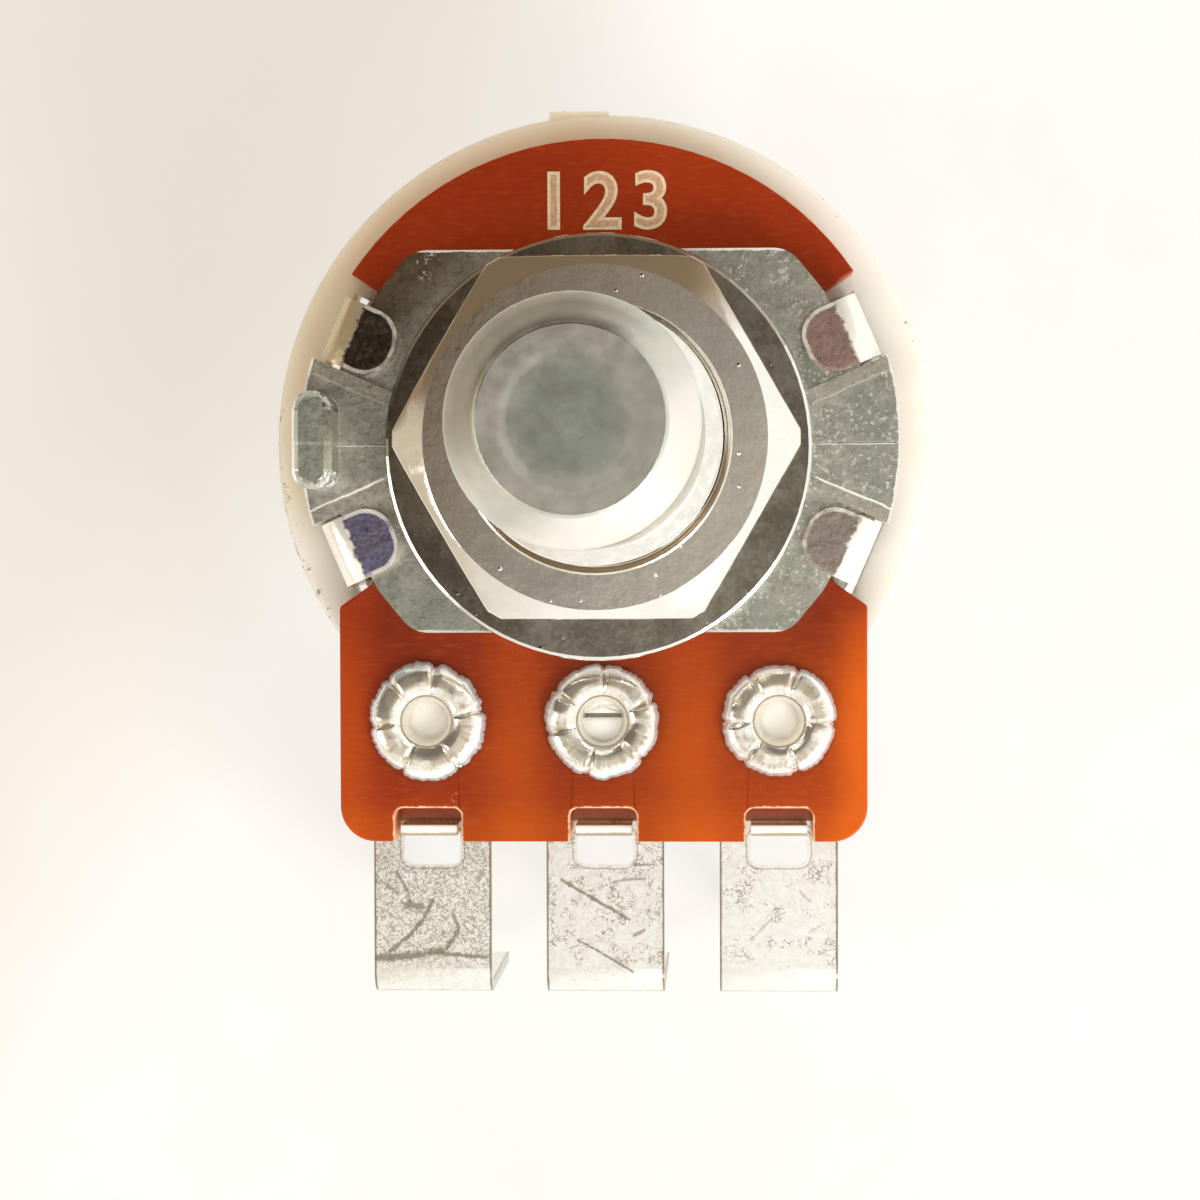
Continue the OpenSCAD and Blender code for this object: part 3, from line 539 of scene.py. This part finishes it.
def cover_steel():
    """Tin-plated cover, with painted reflections in dark brown, blue, pink and grey on its claws'
    flats, a painted highlight round each flat, and bends painted as catching the light.
    """
    f = Finish("cover_steel")
    x, y, z = f.xyz()
    fine = f.noise(5.0, 5, 0.7, warp=0.5)
    drawn = f.noise(2.2, 5, 0.7, stretch=(1.0, 1.0, 0.12))
    base = f.between(drawn, 0.36, 0.64, srgb(222, 217, 203), srgb(236, 232, 221))
    base = f.over(base, f.span(fine, 0.5, 0.7), 0.35, srgb(206, 200, 184))
    # painted reflection: the claws' flats are painted dark brown, blue, pink and grey, each after
    # what it would mirror
    u, v = f.claw_axes(x, y)
    wobble = f.wander(3.6, 4, 0.7, 0.5)
    inward = f.add(u, wobble)
    flat = f.mul(f.fade(inward, PLATE_R - 0.08, PLATE_R),
                 f.span(z, MOUNT_FACE - 0.1, MOUNT_FACE - 0.02))
    left = f.fade(x, -1.0, 1.0)
    low = f.fade(y, -1.0, 1.0)
    reflection_left = f.mix(low, srgb(66, 50, 36), srgb(146, 142, 182))
    reflection_right = f.mix(low, srgb(192, 158, 150), srgb(176, 164, 158))
    claw_reflection = f.mix(left, reflection_right, reflection_left)
    blotch = f.noise(2.6, 4, 0.65, at=(5, 3, 0))
    claw_reflection = f.between(blotch, 0.45, 0.7, claw_reflection, f.mix(0.5, claw_reflection, srgb(150, 134, 116)))
    base = f.over(base, flat, 0.95, claw_reflection)
    # a painted highlight: a bright lip round each flat
    rim = f.beyond(f.sub(CLAW_TIP_R + CLAW_CORNER_R, u),
                   f.sub(f.size(v), CLAW_HALF_W - CLAW_CORNER_R))
    rim = f.add(rim, f.mul(wobble, 0.2))
    lip = f.span(rim, CLAW_CORNER_R - 0.14, CLAW_CORNER_R - 0.09)
    shine = f.span(f.noise(0.9, 3, 0.6, at=(2, 6, 1)), 0.4, 0.55, 0.25, 1.0)
    lip = f.mul(f.mul(lip, flat), shine)
    base = f.over(base, lip, 0.85, srgb(240, 236, 228))
    # the bends catch the light, the upper left one least
    bend = f.mul(f.span(inward, PLATE_R - 0.06, PLATE_R + 0.04),
                 f.span(z, PLATE_LOW - 0.2, PLATE_LOW))
    olive = f.mul(left, f.sub(1.0, low))
    pale = f.mix(olive, srgb(252, 249, 240), srgb(196, 174, 134))
    base = f.over(base, bend, 0.9, pale)
    n = f.bump(f.noise(2.0, 4, 0.6), 0.03, 0.5)
    rings = f.noise(5.0, 3, 0.7, place=f.pair(f.hypot(x, y)))
    n = f.bump(rings, 0.006, 0.5, under=n)
    metal = f.sub(0.95, f.mul(f.most(bend, lip), 0.5))
    return f.set(base, f.gloss(fine, 0.14, 0.3), n, metal)


def post_plastic():
    """The housing's plastic where it shows at the bottom of the eyelets."""
    f = Finish("post_plastic", Specular_IOR_Level=0.3)
    cloud = f.noise(2.2, 4, 0.6)
    base = f.between(cloud, 0.36, 0.64, srgb(250, 247, 238), srgb(255, 253, 247))
    return f.set(base, f.gloss(cloud, 0.4, 0.55), f.bump(cloud, 0.004, 0.3))


def simple_finish(name, light, dark, scale, rough_lo, rough_hi, depth, metallic=0.0):
    """A moulded, printed or stamped finish for the parts inside."""
    f = Finish(name, Metallic=metallic)
    cloud = f.noise(scale, 5, 0.65, warp=0.4)
    base = f.between(cloud, 0.36, 0.64, dark, light)
    rough = f.gloss(f.noise(scale * 0.6, 4, 0.6), rough_lo, rough_hi)
    return f.set(base, rough, f.bump(cloud, depth, 0.6))


def print_ink(name, light, dark):
    """Thin, uneven printing ink."""
    f = Finish(name)
    grain = f.noise(9.0, 5, 0.7)
    base = f.between(grain, 0.38, 0.62, dark, light)
    return f.set(base, f.gloss(grain, 0.45, 0.6), f.bump(grain, 0.012, 0.7))


# Scratches of the three terminals: points in millimetres, width, strength
LEFT_MARKS = (
    (((-6.68, -14.86), (-5.63, -14.80), (-4.80, -14.66)), 0.24, 0.85),
    (((-4.80, -14.72), (-3.44, -14.84)), 0.11, 0.8),
    (((-6.25, -14.66), (-5.70, -14.22), (-5.29, -13.75), (-5.0, -13.17)), 0.12, 0.8),
    (((-4.41, -13.6), (-4.25, -13.99), (-4.33, -14.2), (-4.63, -14.6)), 0.12, 0.8),
    (((-6.06, -12.35), (-5.72, -12.93), (-5.66, -13.2)), 0.10, 0.7),
    (((-5.78, -13.3), (-5.35, -13.38)), 0.26, 0.75),
    (((-6.3, -12.8), (-6.02, -12.96)), 0.12, 0.6))
MIDDLE_MARKS = (
    (((-1.26, -12.59), (-0.26, -13.17), (0.69, -13.73)), 0.11, 0.85),
    (((-0.79, -14.33), (-0.17, -14.66), (0.79, -15.24)), 0.07, 0.8),
    (((0.21, -12.66), (0.6, -12.56), (1.12, -12.55)), 0.09, 0.6),
    (((0.83, -14.18), (1.12, -14.04)), 0.10, 0.7),
    (((0.87, -12.15), (1.41, -12.14)), 0.07, 0.7))
RIGHT_MARKS = (
    (((4.2, -14.3), (4.8, -13.7), (5.2, -13.5)), 0.07, 0.35),
    (((5.6, -12.9), (5.9, -13.2)), 0.08, 0.4))

ZINC = die_cast_zinc()
THREAD = polished_zinc()
EYELET = burst_tin()
POST = post_plastic()
SILVER = simple_finish("silver_film", srgb(208, 205, 198), srgb(172, 168, 160), 14, 0.3, 0.5,
                       0.006, 1)
FINISHES = {
    "front_plate": ZINC,
    "washer": plated_steel("washer_steel", srgb(174, 170, 158), srgb(138, 132, 120), 0.08, 0.18,
                           pits=0.3, edge=0.9),
    "hex_nut": plated_steel("nut_steel", srgb(255, 252, 245), srgb(246, 242, 233), 0.06, 0.14,
                            pits=0.8, edge=0.3),
    "shaft": turned_shaft(),
    "retaining_ring": simple_finish("ring_steel", srgb(150, 148, 140), srgb(110, 108, 102), 6,
                                    0.25, 0.4, 0.01, 1),
    "rotor": simple_finish("rotor_plastic", srgb(70, 68, 64), srgb(50, 48, 46), 4, 0.35, 0.5,
                           0.02),
    "wiper_contact": simple_finish("contact_bronze", srgb(206, 160, 96), srgb(176, 128, 70), 7,
                                   0.2, 0.35, 0.01, 1),
    "resistor_board": phenolic_board(),
    "carbon_track": simple_finish("carbon_film", srgb(40, 38, 37), srgb(24, 23, 23), 12, 0.5,
                                  0.7, 0.008),
    "collector_ring": SILVER,
    "track_lead_left": SILVER,
    "track_lead_right": SILVER,
    "terminal_left": tinned("tinned_brass_left", LEFT, srgb(254, 253, 249),
                            srgb(240, 237, 228), veins=1.0, marks=LEFT_MARKS),
    "terminal_middle": tinned("tinned_brass_middle", MIDDLE, srgb(255, 254, 251),
                              srgb(248, 246, 240), veins=0.45, marks=MIDDLE_MARKS),
    "terminal_right": tinned("tinned_brass_right", RIGHT, srgb(255, 254, 252),
                             srgb(250, 248, 243), veins=0.3, marks=RIGHT_MARKS),
    "eyelet_left": EYELET,
    "eyelet_middle": EYELET,
    "eyelet_right": EYELET,
    "housing": housing_plastic(),
    "rear_cover": cover_steel()}

for name, material in FINISHES.items():
    nodes[name].data.materials.clear()
    nodes[name].data.materials.append(material)


# ---------------------------------------------------------------- mesh tools

def add_object(name, data):
    """A new object in the scene."""
    ob = bpy.data.objects.new(name, data)
    scene.collection.objects.link(ob)
    return ob


def add_mesh(name, verts, faces, material, smooth=True):
    """A new piece from points in millimetres, riding on the body."""
    mesh = bpy.data.meshes.new(name)
    mesh.from_pydata([(x * MM, y * MM, z * MM) for x, y, z in verts], [], faces)
    mesh.validate()
    mesh.update()
    mesh.polygons.foreach_set("use_smooth", [smooth] * len(mesh.polygons))
    mesh.materials.append(material)
    ob = add_object(name, mesh)
    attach(ob, "body")
    return ob


def skin(rings, around):
    """Faces that join rings of points to each other, each ring with that many points."""
    faces = []
    for i in range(rings - 1):
        for k in range(around):
            m = (k + 1) % around
            faces.append((i * around + k, i * around + m, (i + 1) * around + m,
                          (i + 1) * around + k))
    return faces


def soften(ob, width, weld_mm=0.002):
    """Rounds the sharp edges a little, as plating, tumbling and moulding leave them."""
    weld = ob.modifiers.new("weld", "WELD")
    weld.merge_threshold = weld_mm * MM
    bevel = ob.modifiers.new("bevel", "BEVEL")
    bevel.width = width * MM
    bevel.segments = 2
    bevel.limit_method = "ANGLE"
    bevel.angle_limit = math.radians(32.0)
    bevel.use_clamp_overlap = True
    bevel.harden_normals = False
    bevel.miter_outer = "MITER_ARC"


for name, width in (("washer", 0.11), ("shaft", 0.05), ("resistor_board", 0.05),
                    ("housing", 0.08), ("rear_cover", 0.11), ("terminal_left", 0.04),
                    ("terminal_middle", 0.04), ("terminal_right", 0.04)):
    soften(nodes[name], width)
# the nut has points close together, which the wider weld joins so that the bevel stays clean
soften(nodes["hex_nut"], 0.06, weld_mm=0.02)


# ---------------------------------------------------------------- threaded bush

def turned_down_plate():
    """The front plate with its bush slimmed, to sit inside the threaded skin."""
    slim_r, end_drop = 2.98, 0.12
    # the bore and the plate stay as they are: only the bush's outside lies within these
    inner_r, outer_r = 2.95, BUSH_R + 0.02
    src = nodes["front_plate"]
    mesh = src.data.copy()
    for v in mesh.vertices:
        r = math.hypot(v.co.x, v.co.y) / MM
        z = v.co.z / MM
        if inner_r < r < outer_r and MOUNT_FACE - 0.05 < z < BUSH_END + 0.02:
            v.co.x *= slim_r / r
            v.co.y *= slim_r / r
            if z > BUSH_END - 0.1:
                v.co.z -= end_drop * MM
    mesh.update()
    ob = add_object("plate_casting", mesh)
    ob.matrix_world = src.matrix_world.copy()
    return ob


plate = turned_down_plate()
soften(plate, 0.09)
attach(plate, "body")
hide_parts("front_plate")


def ramp(value, start, length):
    """Goes from 0 to 1 while value runs that length past the start."""
    return min(1.0, max(0.0, (value - start) / length))


def bush_thread():
    """The bush's skin: a helical thread that runs out into the chamfer at the end."""
    rows, around = 150, 120
    turns = [math.tau * k / around for k in range(around)]
    low = MOUNT_FACE - 0.03
    verts = []
    for i in range(rows + 1):
        z = low + (BUSH_END - low) * i / rows
        fade = ramp(z - MOUNT_FACE, 0.05, 0.35)
        fade *= 1.0 - 0.85 * ramp(z, BUSH_END - 0.85, 0.5)
        chamfer_r = 3.03 + (BUSH_END - z) * 1.1
        for k, a in enumerate(turns):
            share = ((z / THREAD_PITCH) - k / around) % 1.0
            depth = ramp(abs(2 * share - 1), 0.14, 0.72)
            r = BUSH_R - depth * fade * (BUSH_R - THREAD_ROOT)
            r = min(r, chamfer_r)
            verts.append((r * math.cos(a), r * math.sin(a), z))
    # the end turns in and runs down the bore
    mouth = ((2.9, BUSH_END), (2.86, BUSH_END - 0.04), (2.86, BUSH_END - 0.5))
    for r, z in mouth:
        verts += [(r * math.cos(a), r * math.sin(a), z) for a in turns]
    return add_mesh("bush_thread", verts, skin(rows + 1 + len(mouth), around), THREAD)


thread = bush_thread()
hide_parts("front_plate")


def parting_line(name, x1, x2):
    """The raised witness of the die's parting line across a wing."""
    # the ridge's section, across the line and over the face
    section = ((-0.05, -0.02), (-0.015, 0.025), (0.02, 0.02), (0.05, -0.02))
    verts = []
    steps = 14
    rng = random.Random(7)
    for i in range(steps + 1):
        x = x1 + (x2 - x1) * i / steps
        shift = rng.uniform(-0.012, 0.012)
        verts += [(x, SEAM_Y + dy + shift, MOUNT_FACE + dz) for dy, dz in section]
    outward = [(a, d, c, b) for a, b, c, d in skin(steps + 1, len(section))]
    ob = add_mesh(name, verts, outward, ZINC, smooth=False)


parting_line("parting_line_left", -7.2, -4.5)
parting_line("parting_line_right", 4.5, 8.2)


# ---------------------------------------------------------------- eyelets

# The curl's section: share of the way from hole to rim, and height over the board
CURL = ((-0.12, -1.9), (-0.12, -0.5), (-0.08, -0.2), (-0.03, 0.02), (-0.01, 0.1), (0.01, 0.15),
        (0.05, 0.22), (0.11, 0.285), (0.18, 0.33), (0.26, 0.36), (0.36, 0.375), (0.48, 0.372),
        (0.6, 0.36), (0.7, 0.338), (0.79, 0.3), (0.87, 0.245), (0.93, 0.175), (0.97, 0.1),
        (1.0, 0.01))
# Shares of the curl where the splits begin, and where the torn edge begins
SPLIT_FROM, TORN_FROM = 0.04, 0.85
# Extra sections beside each split, in radians, so that it stays narrow
BESIDE_SPLIT = (-0.09, -0.05, -0.02, -0.004, 0.004, 0.02, 0.05)


def turn_from(a, b):
    """The turn from b to a, between minus and plus half a turn."""
    return (a - b + math.pi) % math.tau - math.pi


def beside_split(aside, grow, gentle, wide):
    """How far the curl drops and how far it draws in, that far aside of a split."""
    if gentle:
        slope = 0.1 + 0.2 * wide * grow
        drop = 0.05 + 0.17 * grow
    else:
        slope = 0.025 + 0.03 * grow
        drop = 0.06 + 0.2 * grow
    fall = drop * max(0.0, 1.0 - aside / slope) * min(1.0, grow * 6)
    return fall, 0.09 * max(0.0, 1.0 - aside / 0.11) * grow ** 2


def eyelet(name, node, cx, splits, seed, ragged, rim):
    """A hollow rivet whose rim has burst into petals and curled over the board.

    splits are their directions in degrees, ragged is how torn the rim is, rim its radius.
    """
    rng = random.Random(seed)
    splits = sorted(math.radians(v) % math.tau for v in splits)
    count, around = len(splits), 216
    angles = {math.tau * i / around for i in range(around)}
    angles |= {(v + e) % math.tau for v in splits for e in BESIDE_SPLIT}
    angles = sorted(angles)
    # each petal's lift, reach and tilt; each split's gentle side and its width
    lift = [rng.uniform(-0.045, 0.05) for _ in splits]
    out = [rng.uniform(-0.04, 0.04) for _ in splits]
    tilt = [rng.uniform(-0.12, 0.12) for _ in splits]
    flip = [rng.choice((-1, 1)) for _ in splits]
    wide = [rng.uniform(0.7, 1.3) for _ in splits]
    # dents and lumps: direction, width, height and share of the curl
    lumps = [(rng.uniform(0, math.tau), rng.uniform(0.08, 0.24), rng.uniform(-0.6, 1.0),
              rng.uniform(0.3, 1.0)) for _ in range(16)]
    # the torn edge: waves round the rim, start and height
    waves = [(rng.randint(9, 15), rng.uniform(0, 6.28), 0.35) for _ in range(3)]
    waves += [(rng.randint(22, 64), rng.uniform(0, 6.28), 0.22) for _ in range(6)]
    verts = []
    for a in angles:
        k = min(range(count), key=lambda q: abs(turn_from(a, splits[q])))
        d = turn_from(a, splits[k])
        petal = k if d > 0 else (k - 1) % count
        start = splits[petal]
        width = (splits[(petal + 1) % count] - start) % math.tau
        along = ((a - start) % math.tau) / width - 0.5
        jag = ragged * sum(high * math.sin(w * a + q) for w, q, high in waves)
        for u, h in CURL:
            r = CURL_HOLE_R + (rim - CURL_HOLE_R) * u
            z = BOARD_FRONT + h
            if u > SPLIT_FROM:
                grow = u - SPLIT_FROM
                r += out[petal] * grow
                z += (lift[petal] + tilt[petal] * along) * grow
                z += 0.025 * sum(high * math.exp(-(turn_from(a, c) / w) ** 2
                                                 - ((u - v) / 0.22) ** 2)
                                 for c, w, high, v in lumps)
                fall, draw = beside_split(abs(d) * r, grow, d * flip[k] > 0, wide[k])
                z -= fall
                r -= draw
                if u > TORN_FROM:
                    r += jag * (u - TORN_FROM) / (1.0 - TORN_FROM)
                    z += 0.5 * abs(jag) * (1.0 - u) / (1.0 - TORN_FROM)
                z = max(z, BOARD_FRONT + 0.012)
            verts.append((cx + r * math.cos(a), EYELET_Y + r * math.sin(a), z))
    m = len(CURL)
    faces = []
    for i in range(len(angles)):
        j = (i + 1) % len(angles)
        for k in range(m - 1):
            faces.append((i * m + k, j * m + k, j * m + k + 1, i * m + k + 1))
    ob = add_mesh(name, verts, faces, EYELET)
    solid = ob.modifiers.new("wall", "SOLIDIFY")
    solid.thickness = 0.09 * MM
    solid.offset = -1.0
    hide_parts(node)


eyelet("eyelet_curl_left", "eyelet_left", LEFT,
       (84, 135, 188, 245, 302, 8), seed=3, ragged=0.04, rim=1.6)
eyelet("eyelet_curl_middle", "eyelet_middle", MIDDLE,
       (91, 146, 195, 255, 317, 20), seed=5, ragged=0.035, rim=1.55)
eyelet("eyelet_curl_right", "eyelet_right", RIGHT,
       (67, 125, 180, 230, 292, 0), seed=9, ragged=0.03, rim=1.54)


def post(name, cx, y_low, y_high, z, seed, rough=0.0):
    """The housing's plastic seen at the bottom of an eyelet, cut straight at one or both ends."""
    rng = random.Random(seed)
    radius, around = 0.59, 48
    rim = []
    for i in range(around):
        a = math.tau * i / around
        y = max(y_low, min(y_high, EYELET_Y + radius * math.sin(a)))
        half = math.sqrt(max(0.0, radius * radius - (y - EYELET_Y) ** 2))
        x = cx + max(-half, min(half, radius * math.cos(a)))
        rim.append((x, y))
    mid_y = (max(y for x, y in rim) + min(y for x, y in rim)) / 2
    # the post's section: share of its radius, and height over its top
    section = ((1.0, -1.0), (1.0, -0.04), (0.94, 0.0), (0.6, 0.004), (0.25, 0.006))
    verts = []
    for k, (share, up) in enumerate(section):
        for x, y in rim:
            lump = rng.uniform(-rough, rough) if k > 1 else 0.0
            verts.append((cx + (x - cx) * share, mid_y + (y - mid_y) * share, z + up + lump))
    verts.append((cx, mid_y, z + section[-1][1]))
    faces = skin(len(section), around)
    last = around * (len(section) - 1)
    top = around * len(section)
    faces += [(last + i, last + (i + 1) % around, top) for i in range(around)]
    ob = add_mesh(name, verts, faces, POST)


post("post_left", LEFT, -9.0, -7.0, 7.7, 1)
post("post_right", RIGHT, -9.0, -7.0, 7.75, 2)
post("post_middle", MIDDLE, -9.0, -7.82, 8.0, 3)
post("post_middle_stub", MIDDLE, -7.69, -7.0, 7.9, 4, 0.03)
post("post_middle_gap", MIDDLE, -7.85, -7.66, 7.45, 5)


# ---------------------------------------------------------------- printed numbers

INK = print_ink("print_ink", srgb(232, 214, 184), srgb(214, 190, 156))
INK_CORE = print_ink("print_ink_core", srgb(206, 170, 136), srgb(190, 146, 110))
DIGIT_SIZE, DIGIT_Y, DIGIT_LEFT, DIGIT_STEP = 2.2, 6.85, -1.35, 1.38


def printed(name, text, x, grow, height, material):
    """A digit on the board, its outline moved out by grow, its middle that high over the face."""
    curve = bpy.data.curves.new(name, "FONT")
    curve.body = text
    curve.size = DIGIT_SIZE * MM
    curve.align_x = "CENTER"
    curve.align_y = "CENTER"
    curve.offset = grow * MM
    curve.extrude = 0.006 * MM
    curve.resolution_u = 6
    letter = add_object(name + "_tmp", curve)
    bpy.context.view_layer.update()
    mesh = bpy.data.meshes.new_from_object(letter)
    bpy.data.objects.remove(letter)
    bpy.data.curves.remove(curve)
    ys = [v.co.y for v in mesh.vertices]
    mid = (min(ys) + max(ys)) / 2
    for v in mesh.vertices:
        v.co.x += x * MM
        v.co.y += DIGIT_Y * MM - mid
        v.co.z += (BOARD_FRONT + height) * MM
    mesh.materials.clear()
    mesh.materials.append(material)
    ob = add_object(name, mesh)
    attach(ob, "body")


for i, digit in enumerate("123"):
    x = DIGIT_LEFT + DIGIT_STEP * i
    printed("print_" + digit, digit, x, 0.07, 0.008, INK)
    printed("print_core_" + digit, digit, x, -0.02, 0.014, INK_CORE)


# ---------------------------------------------------------------- floor and world

def paper():
    """Pale paper, with painted shade, darker and warmer, to the upper left near the part. To the
    camera it partly glows.
    """
    f = Finish("paper", Roughness=0.8)
    base = f.between(f.noise(0.25, 4, 0.6), 0.35, 0.65, srgb(251, 250, 247), srgb(250, 248, 244))
    x, y = f.xyz()[:2]
    # painted shade: darker and warmer to the upper left, fading out away from the part
    paper_shade = f.span(f.sub(f.mul(y, 0.6), x), 2.0, 20.0)
    paper_shade = f.mul(paper_shade, f.fade(f.vec("LENGTH", f.mm), 28.0, 60.0))
    base = f.over(base, paper_shade, 0.7, srgb(226, 218, 205))
    f.set(base, None, f.bump(f.noise(2.0, 4), 0.02, 0.3))
    glow = f.node("ShaderNodeEmission", base, 1.0)
    ray = f.node("ShaderNodeLightPath").outputs
    seen = f.most(ray["Is Camera Ray"], f.most(ray["Is Glossy Ray"], ray["Is Transmission Ray"]))
    both = f.node("ShaderNodeMixShader", f.mul(seen, 0.6), f.p.outputs[0], glow.outputs[0])
    f.put(f.out.inputs[0], both.outputs[0])
    return f.m


bpy.ops.mesh.primitive_circle_add(vertices=96, radius=2.5, fill_type="NGON",
                                  location=(0, 0, FLOOR_Z * MM))
floor = bpy.context.object
floor.name = "floor"
floor.data.materials.append(paper())


def studio():
    """The room that the metal mirrors: bright to the right, warmer to the left, a dark hood."""
    world = bpy.data.worlds.new("studio")
    scene.world = world
    world.use_nodes = True
    w = Nodes(world.node_tree)
    way = w.node("ShaderNodeTexCoord").outputs["Generated"]

    def toward(*direction):
        """How much a ray goes in that direction."""
        return w.vec("DOT_PRODUCT", way, tuple(Vector(direction).normalized()))

    across = w.span(toward(1.0, -0.45, 0.0), -0.8, 0.45)
    room = w.mix(across, (0.60, 0.52, 0.40, 1), (1.04, 1.02, 0.98, 1))
    hood = w.span(toward(-0.2, 0.75, 0.62), 0.568, 0.596)
    # the hood's tones, from the upper left to the lower right
    slope = toward(0.8, -0.6, 0.0)
    tone = w.between(slope, -0.14, -0.095, (0.06, 0.038, 0.022, 1), (0.24, 0.19, 0.14, 1))
    tone = w.between(slope, -0.095, -0.04, tone, (0.275, 0.265, 0.235, 1))
    tone = w.between(slope, -0.03, 0.0, tone, (0.50, 0.455, 0.39, 1))
    room = w.mix(hood, room, tone)
    direct = w.node("ShaderNodeLightPath").outputs["Is Camera Ray"]
    back = w.node("ShaderNodeBackground", w.mix(direct, room, (1, 1, 1, 1)), 1.0)
    w.node("ShaderNodeOutputWorld", back.outputs[0])


studio()


# ---------------------------------------------------------------- lamps and camera, in metres

def lamp(name, place, size, power, color):
    """A round lamp that faces the part."""
    data = bpy.data.lights.new(name, "AREA")
    data.shape = "DISK"
    data.size = size
    data.energy = power
    data.color = color
    ob = add_object(name, data)
    ob.location = place
    ob.rotation_euler = (-Vector(place)).to_track_quat("-Z", "Y").to_euler()
    return ob


lamp("key", (0.30, -0.34, 0.34), 0.22, 1.5, (1.0, 0.985, 0.95))
lamp("fill", (-0.36, -0.14, 0.30), 0.26, 0.6, (1.0, 0.97, 0.92))
top = lamp("top", (0.02, 0.40, 0.34), 0.30, 1.15, (1.0, 0.94, 0.85))
top.visible_glossy = False

cam_data = bpy.data.cameras.new("camera")
cam_data.sensor_fit = "HORIZONTAL"
cam_data.sensor_width = 36.0
cam_data.lens = 90.0
cam_data.clip_start = 0.005
cam_data.clip_end = 10.0
camera = add_object("camera", cam_data)
eye = Vector((3.685, -2.673, 93.098)) * MM
aim = Vector((-0.072, -4.472, 8.0)) * MM
roll = math.radians(0.186)
look = (aim - eye).normalized()
up = Vector((0, 1, 0))
up = (up - up.dot(look) * look).normalized()
up = Matrix.Rotation(roll, 3, look) @ up
right = look.cross(up)
camera.matrix_world = Matrix((
    (right.x, up.x, -look.x, eye.x),
    (right.y, up.y, -look.y, eye.y),
    (right.z, up.z, -look.z, eye.z),
    (0, 0, 0, 1)))
scene.camera = camera

scene.view_settings.view_transform = "Standard"
